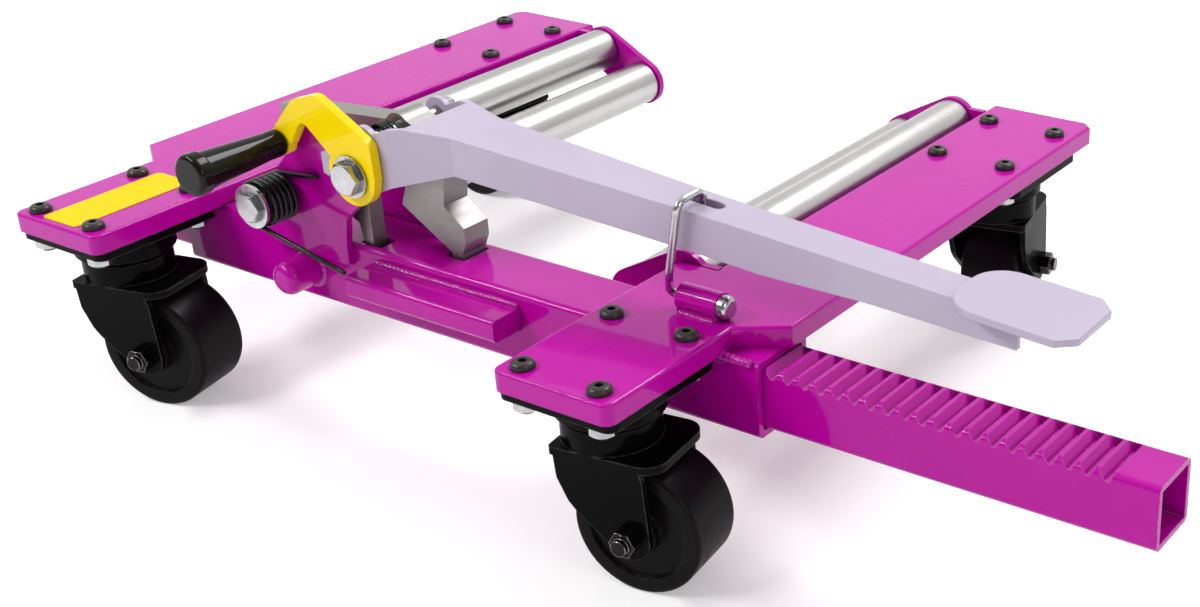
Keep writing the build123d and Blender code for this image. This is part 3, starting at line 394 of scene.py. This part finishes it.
zincLook = {
    "colour": (0.52, 0.52, 0.53), "deepColour": (0.36, 0.36, 0.375), "cloudSize": 0.010,
    "edgeRadius": 0.0006, "wearAndGlintAmount": 0.3, "wearAndGlintPatch": 0.004, "wearAndGlintColour": (0.70, 0.70, 0.71),
    "metallic": 1.0, "rough": (0.16, 0.30), "specular": 0.5,
    "stretch": (350.0, 350.0, 60.0), "lineSpan": (0.3, 0.7), "lineDepth": 0.02, "lineHeight": 0.0002,
    "paintedShade": 0.75, "paintedShadeReach": 0.012, "paintedShadeColour": (0.05, 0.048, 0.048),
}
rollerLook = {
    **zincLook, "colour": (0.51, 0.498, 0.493), "deepColour": (0.46, 0.448, 0.443), "cloudSize": 0.08,
    "wearAndGlintAmount": 0.1, "rough": (0.27, 0.33), "stretch": (10.0, 160.0, 10.0), "lineDepth": 0.006,
    "paintedShade": 0.55, "paintedShadeReach": 0.03, "paintedShadeColour": (0.20, 0.195, 0.195),
}
screwLook = {
    **zincLook, "colour": (0.058, 0.049, 0.047), "deepColour": (0.032, 0.028, 0.027),
    "wearAndGlintColour": (0.13, 0.12, 0.115), "metallic": 0.3, "rough": (0.24, 0.38), "specular": 0.25,
    "stretch": (300.0, 300.0, 300.0), "paintedShadeColour": (0.004, 0.0035, 0.0035),
}
axleLook = {
    **screwLook, "colour": (0.022, 0.020, 0.020), "deepColour": (0.014, 0.012, 0.012),
    # Bright worn edges: bare metal at worn corners, made bright as painted highlight in place of glints on
    # the nuts
    "edgeRadius": 0.0016, "wearAndGlintAmount": 0.44, "wearAndGlintColour": (0.45, 0.435, 0.43),
    "metallic": 0.9, "rough": (0.14, 0.24),
}
springLook = {
    **screwLook, "colour": (0.006, 0.0055, 0.0055), "deepColour": (0.010, 0.009, 0.009),
    "edgeRadius": 0.0003, "wearAndGlintAmount": 0.1, "rough": (0.16, 0.28), "specular": 0.4,
    "stretch": (200.0, 200.0, 200.0),
}
pawlLook = {
    **zincLook, "colour": (0.34, 0.325, 0.313), "deepColour": (0.28, 0.267, 0.257), "cloudSize": 0.045,
    "wearAndGlintAmount": 0.25, "wearAndGlintColour": (0.50, 0.485, 0.475), "metallic": 0.9, "rough": (0.40, 0.50),
    "stretch": (30.0, 30.0, 140.0), "lineDepth": 0.008,
    "paintedShade": 0.8, "paintedShadeReach": 0.02, "paintedShadeColour": (0.035, 0.032, 0.036),
}

weldPaint = paint("magentaPaintOnWelds", weldPaintLook)
springSteel = metal("blackSpringSteel", springLook)
finishOfSlot = {
    "frame_paint": paint("magentaPaint", framePaintLook),
    "pedal_paint": paint("lilacPedalPaint", pedalPaintLook),
    "lever_paint": paint("yellowLeverPaint", leverPaintLook),
    "caster_black": paint("blackForkPaint", forkPaintLook),
    "yellow_strip": moulded("yellowStripVinyl", stripLook),
    "grip_rubber": moulded("blackGripRubber", gripLook),
    "bush_plastic": moulded("naturalBushNylon", bushLook),
    "wheel_black": moulded("blackWheelNylon", wheelLook),
    "zinc": metal("brightZinc", zincLook),
    "roller_zinc": metal("rollerZinc", rollerLook),
    "black_screws": metal("blackScrewOxide", screwLook),
    "caster_bolts": metal("blackAxleZinc", axleLook),
    "pawl_steel": metal("oiledPawlSteel", pawlLook),
    "spring_steel": springSteel,
}
finishOfNode = {"inner_tube": paint("magentaPaintOnInnerTube", slidePaintLook)}  # scuffed by the outer tube

for part in frame["record"]["subparts"]:
    finish = finishOfNode.get(part["node"], finishOfSlot[part["material_slot"]])
    for slot in nodes[part["node"]].material_slots:
        slot.material = finish


# Mesh makers

# Rounded end of a wire or bead, its height in radii and its sweep in degrees
dome = {"steps": 4, "height": 0.6, "sweep": 85}


def meshObject(name, maker, finish, body):
    mesh = bpy.data.meshes.new(name)
    maker.to_mesh(mesh)
    maker.free()
    for face in mesh.polygons:
        face.use_smooth = True
    piece = bpy.data.objects.new(name, mesh)
    scene.collection.objects.link(piece)
    piece.data.materials.append(finish)
    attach(piece, body)
    return piece


def axesAlong(path, closed):
    # Cross axes that travel along a path with no needless twist
    count = len(path)
    ways = []
    for i in range(count):
        before = path[i - 1] if closed or i > 0 else path[i]
        after = path[(i + 1) % count] if closed or i < count - 1 else path[i]
        ways.append((after - before).normalized())
    side = ways[0].orthogonal().normalized()
    axes = []
    for way in ways:
        side = (side - way * side.dot(way)).normalized()
        axes.append((side.copy(), way.cross(side)))
    return axes


def tubeAlong(path, radii, sides, closed=False):
    maker = bmesh.new()
    rings = []
    for spot, (first, second), radius in zip(path, axesAlong(path, closed), radii):
        ring = []
        for k in range(sides):
            angle = math.tau * k / sides
            out = first * math.cos(angle) + second * math.sin(angle)
            ring.append(maker.verts.new(spot + out * radius))
        rings.append(ring)
    pairs = list(zip(rings, rings[1:]))
    if closed:
        pairs.append((rings[-1], rings[0]))
    for low, high in pairs:
        for k in range(sides):
            after = (k + 1) % sides
            maker.faces.new((low[k], low[after], high[after], high[k]))
    if not closed:
        maker.faces.new(rings[0][::-1])
        maker.faces.new(rings[-1])
    bmesh.ops.recalc_face_normals(maker, faces=maker.faces)
    return maker


def domedEnds(path, radii, capRadius):
    # Lengthens an open path by a rounded cap at either end
    head = (path[0] - path[1]).normalized()
    tail = (path[-1] - path[-2]).normalized()
    steps = dome["steps"]
    angles = [math.radians(dome["sweep"]) * (steps - i) / steps for i in range(steps)]
    height = capRadius * dome["height"]
    front = [path[0] + head * height * math.sin(angle) for angle in angles]
    back = [path[-1] + tail * height * math.sin(angle) for angle in angles[::-1]]
    capRadii = [capRadius * math.cos(angle) for angle in angles]
    return front + path + back, capRadii + radii + capRadii[::-1]


# Springs, wound round their bolts; a leg's end is measured from the bolt's axis

springMesh = {"perTurn": 40, "legSteps": 12, "sides": 16}
torsionSpring = {
    "wire": 0.0040, "across": 0.036, "turns": 5, "frontLeg": (0.099, -0.039), "backLeg": (0.046, 0.023),
}
pawlSpring = {
    "wire": 0.0024, "across": 0.019, "turns": 3, "frontLeg": (0.026, -0.0065), "backLeg": (0.026, 0.00325),
}


def springPath(look, axis, frontY, backY):
    radius = look["across"] / 2
    frontLeg, backLeg = look["frontLeg"], look["backLeg"]

    def touchAngle(leg, way):
        # Where a straight leg meets the coil
        return math.atan2(leg[1], leg[0]) + way * math.acos(radius / math.hypot(*leg))

    def spotAt(x, y, z):
        return Vector((axis[0] + x, y, axis[1] + z))

    begin = touchAngle(frontLeg, -1)
    stop = touchAngle(backLeg, 1)
    while stop > begin - math.tau * look["turns"]:
        stop -= math.tau
    steps = int(springMesh["perTurn"] * (begin - stop) / math.tau)
    coil = []
    for i in range(steps + 1):
        share = i / steps
        angle = begin + (stop - begin) * share
        y = frontY + (backY - frontY) * share
        coil.append(spotAt(radius * math.cos(angle), y, radius * math.sin(angle)))
    start = spotAt(frontLeg[0], frontY, frontLeg[1])
    end = spotAt(backLeg[0], backY, backLeg[1])
    legSteps = springMesh["legSteps"]
    before = [start.lerp(coil[0], i / legSteps) for i in range(legSteps)]
    after = [coil[-1].lerp(end, (i + 1) / legSteps) for i in range(legSteps)]
    return before + coil + after


def windSpring(name, look, node, around, body):
    low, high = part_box(node)
    boltLow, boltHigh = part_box(around)
    axis = ((boltLow.x + boltHigh.x) / 2, (boltLow.z + boltHigh.z) / 2)
    half = look["wire"] / 2
    path = springPath(look, axis, low.y + half, high.y - half)[1:-1]  # room for the rounded ends
    path, radii = domedEnds(path, [half] * len(path), half)
    spring = meshObject(name, tubeAlong(path, radii, springMesh["sides"]), springSteel, body)
    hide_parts(node)


windSpring("torsionSpringWire", torsionSpring, "torsion_spring", "spring_bolt", "main_frame")
windSpring("pawlSpringWire", pawlSpring, "pawl_spring", "pawl_pin", "pedal")
print("springs wound")


# Weld beads in the corners between welded plates

weld = {
    "radius": 0.0034, "sides": 12, "step": 0.0009, "ripple": 0.0046, "rippleDepth": 0.26,
    "wander": 0.0004, "swayRates": (0.071, 0.023), "swayPerMetre": 90.0, "swayStart": 1.3,
    "gussetFoot": 0.091,  # straight foot of the front gusset
    "deckEnd": 0.012, "deckCorner": 0.006,  # left free at the deck's end and at the tube's round corners
    "barrelRadius": 0.0026, "barrelTuck": 0.002,
}


def beadRadii(count, ripplesPerPoint, radius):
    radii = []
    for i in range(count):
        wave = abs(math.sin(math.pi * i * ripplesPerPoint))
        radii.append(radius * (1 - weld["rippleDepth"] * (1 - wave) ** 2))
    return radii


def swayAt(i, length):
    # The welder's hand wanders, differently in beads of different length
    quick, slow = weld["swayRates"]
    return math.sin(i * quick + length * weld["swayPerMetre"]) * math.sin(i * slow + weld["swayStart"])


def weldBead(name, start, end, radius=weld["radius"]):
    start, end = Vector(start), Vector(end)
    length = (end - start).length
    count = int(length / weld["step"])
    side = (end - start).normalized().orthogonal().normalized()
    path = []
    for i in range(count + 1):
        path.append(start.lerp(end, i / count) + side * weld["wander"] * swayAt(i, length))
    ripples = beadRadii(count + 1, length / count / weld["ripple"], radius)
    path, radii = domedEnds(path, ripples, radius)
    meshObject(name, tubeAlong(path, radii, weld["sides"]), weldPaint, "main_frame")


def weldRing(name, centre, across):
    girth = math.pi * across
    count = int(girth / weld["step"])
    path = []
    for i in range(count):
        angle = math.tau * i / count
        out = Vector((math.cos(angle), 0, math.sin(angle)))
        path.append(centre + out * across / 2)
    radii = beadRadii(count, round(girth / weld["ripple"]) / count, weld["radius"])
    maker = tubeAlong(path, radii, weld["sides"], closed=True)
    meshObject(name, maker, weldPaint, "main_frame")


def weldTheFrame():
    inset = weld["radius"]

    def beadAlongX(name, left, right, y, z, radius=weld["radius"]):
        weldBead(name, (left, y, z), (right, y, z), radius)

    tubeLow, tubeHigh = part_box("outer_tube")
    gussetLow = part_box("gusset_front")[0]
    gussetEnd = gussetLow.x + weld["gussetFoot"]
    beadAlongX("gussetFrontWeld", gussetLow.x + inset, gussetEnd - inset, tubeLow.y, gussetLow.z)
    gussetLow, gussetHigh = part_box("gusset_rear")
    beadAlongX("gussetRearWeld", gussetLow.x + inset, gussetHigh.x - inset, tubeHigh.y, gussetLow.z)

    deckLow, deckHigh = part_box("right_deck")
    corner = weld["deckCorner"]
    innerStart = (deckLow.x, tubeLow.y + corner, deckLow.z)
    innerEnd = (deckLow.x, tubeHigh.y - corner, deckLow.z)
    weldBead("deckInnerWeld", innerStart, innerEnd)
    deckEnd = deckHigh.x - weld["deckEnd"]
    beadAlongX("deckFrontWeld", deckLow.x + inset, deckEnd, tubeLow.y, deckLow.z)
    beadAlongX("deckRearWeld", deckLow.x + inset, tubeHigh.x - inset, tubeHigh.y, deckLow.z)

    pegLow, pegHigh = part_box("hanger_peg")
    pegMiddle = (pegLow + pegHigh) / 2
    weldRing("pegWeld", Vector((pegMiddle.x, tubeLow.y, pegMiddle.z)), pegHigh.x - pegLow.x)

    stepLow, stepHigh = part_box("foot_step")
    for name, z in (("stepTopWeld", stepHigh.z), ("stepUnderWeld", stepLow.z)):
        beadAlongX(name, stepLow.x + inset, stepHigh.x - inset, tubeLow.y, z)

    barrelLow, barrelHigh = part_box("latch_barrel")
    tuck = weld["barrelTuck"]
    for name, y in (("barrelFrontWeld", barrelLow.y + tuck), ("barrelRearWeld", barrelHigh.y - tuck)):
        left, right = barrelLow.x + inset, barrelHigh.x - inset
        beadAlongX(name, left, right, y, barrelLow.z, weld["barrelRadius"])


weldTheFrame()
print("welds laid")


# Studio

lamps = {
    "keySoftBox": {"spot": (-1.65, -1.80, 2.30), "size": (2.2, 0.34), "power": 65.0},
    "topSoftBox": {"spot": (0.40, 1.60, 2.50), "size": (1.5, 1.0), "power": 59.0},
    "fillSoftBox": {"spot": (2.5, -0.9, 1.3), "size": (1.2, 1.2), "power": 15.0},
}
lampTarget = Vector((0.0, 0.0, 0.12))
floorLook = {
    "radius": 6.0, "corners": 48, "tone": 0.90, "rough": 0.9,
    "liftReach": (0.9, 4.0), "lift": (0.30, 1.0),  # own light at these distances from the middle
}
roomLook = {
    "ambient": 0.36, "darkSide": 0.22,
    "brightWay": (-0.40, 0.75, 0.53), "brightSpan": (-0.10, 0.50),  # cosines where it turns bright
}


def softBox(name, look):
    lamp = bpy.data.lights.new(name, "AREA")
    lamp.shape = "RECTANGLE"
    lamp.size, lamp.size_y = look["size"]
    lamp.energy = look["power"]
    box = bpy.data.objects.new(name, lamp)
    box.location = look["spot"]
    toward = lampTarget - box.location
    box.rotation_euler = toward.to_track_quat("-Z", "Y").to_euler()
    scene.collection.objects.link(box)


def raysSeen(tree):
    # Rays that look straight at a surface, and rays that see it in a mirror
    path = addNode(tree, "ShaderNodeLightPath")
    straight = mathNode(tree, "MAXIMUM", path.outputs["Is Camera Ray"], path.outputs["Is Transmission Ray"])
    return straight, path.outputs["Is Glossy Ray"]


def paleFloor():
    material, tree, shader = newMaterial("paleFloor")
    setSockets(shader, {
        "Base Color": colour([floorLook["tone"]] * 3), "Roughness": floorLook["rough"],
        "Specular IOR Level": 0.0, "Emission Color": white})
    # The lift grows outwards, where the lamps no longer reach, so that the floor stays white
    away = vectorNode(tree, "LENGTH", objectSpot(tree))["Value"]
    lift = mapRange(tree, away, floorLook["liftReach"], floorLook["lift"])
    seen = mathNode(tree, "MAXIMUM", *raysSeen(tree))
    feed(tree, shader.inputs["Emission Strength"], mathNode(tree, "MULTIPLY", seen, lift))
    return material


def studioFloor():
    maker = bmesh.new()
    radius, corners = floorLook["radius"], floorLook["corners"]
    rim = []
    for k in range(corners):
        angle = math.tau * k / corners
        rim.append(maker.verts.new((radius * math.cos(angle), radius * math.sin(angle), 0)))
    maker.faces.new(rim)
    mesh = bpy.data.meshes.new("studioFloor")
    maker.to_mesh(mesh)
    maker.free()
    mesh.materials.append(paleFloor())
    floor = bpy.data.objects.new("studioFloor", mesh)
    scene.collection.objects.link(floor)


def studioWorld():
    world = bpy.data.worlds.new("studioWorld")
    scene.world = world
    world.use_nodes = True
    tree = world.node_tree
    background = tree.nodes["Background"]
    background.inputs["Color"].default_value = white
    # White where it is looked at; in mirrors, darker on the side the photograph was taken from
    way = addNode(tree, "ShaderNodeTexCoord").outputs["Generated"]
    facing = vectorNode(tree, "DOT_PRODUCT", way, roomLook["brightWay"])["Value"]
    mirrorLight = mapRange(tree, facing, roomLook["brightSpan"], (roomLook["darkSide"], 1.0), "SMOOTHSTEP")
    straight, mirrored = raysSeen(tree)
    strength = mix(tree, "FLOAT", mirrored, roomLook["ambient"], mirrorLight)
    feed(tree, background.inputs["Strength"], mix(tree, "FLOAT", straight, strength, 1.0))


for name, look in lamps.items():
    softBox(name, look)
studioFloor()
studioWorld()
scene.view_settings.view_transform = "Standard"
print("studio lit")


# Camera where the photograph was taken from, with angles in degrees; focal, centre and image are in pixels

view = {
    "spot": (0.8677, -1.0770, 0.7356), "azimuth": 31.779, "elevation": 25.888, "roll": -0.1755,
    "focal": 1793.28, "centre": (897.53, 303.06), "image": (1200, 607), "sensor": 36.0, "nearest": 0.05,
}


def photoCamera():
    across, down = view["image"]
    azimuth, elevation, roll = (math.radians(view[k]) for k in ("azimuth", "elevation", "roll"))
    level = Vector((math.cos(azimuth), math.sin(azimuth), 0))
    forward = Vector((-math.sin(azimuth), math.cos(azimuth), 0))
    ahead = forward * math.cos(elevation) - Vector((0, 0, math.sin(elevation)))
    rise = level.cross(ahead)
    right = level * math.cos(roll) + rise * math.sin(roll)
    up = rise * math.cos(roll) - level * math.sin(roll)
    lens = bpy.data.cameras.new("photoCamera")
    lens.sensor_width = view["sensor"]
    lens.lens = view["focal"] / across * view["sensor"]
    lens.shift_x = (across / 2 - view["centre"][0]) / across
    lens.shift_y = (view["centre"][1] - down / 2) / across
    lens.clip_start = view["nearest"]
    camera = bpy.data.objects.new("photoCamera", lens)
    turn = Matrix((right, up, -ahead)).transposed().to_4x4()
    camera.matrix_world = Matrix.Translation(Vector(view["spot"])) @ turn
    scene.collection.objects.link(camera)
    scene.camera = camera


photoCamera()
print("camera set")
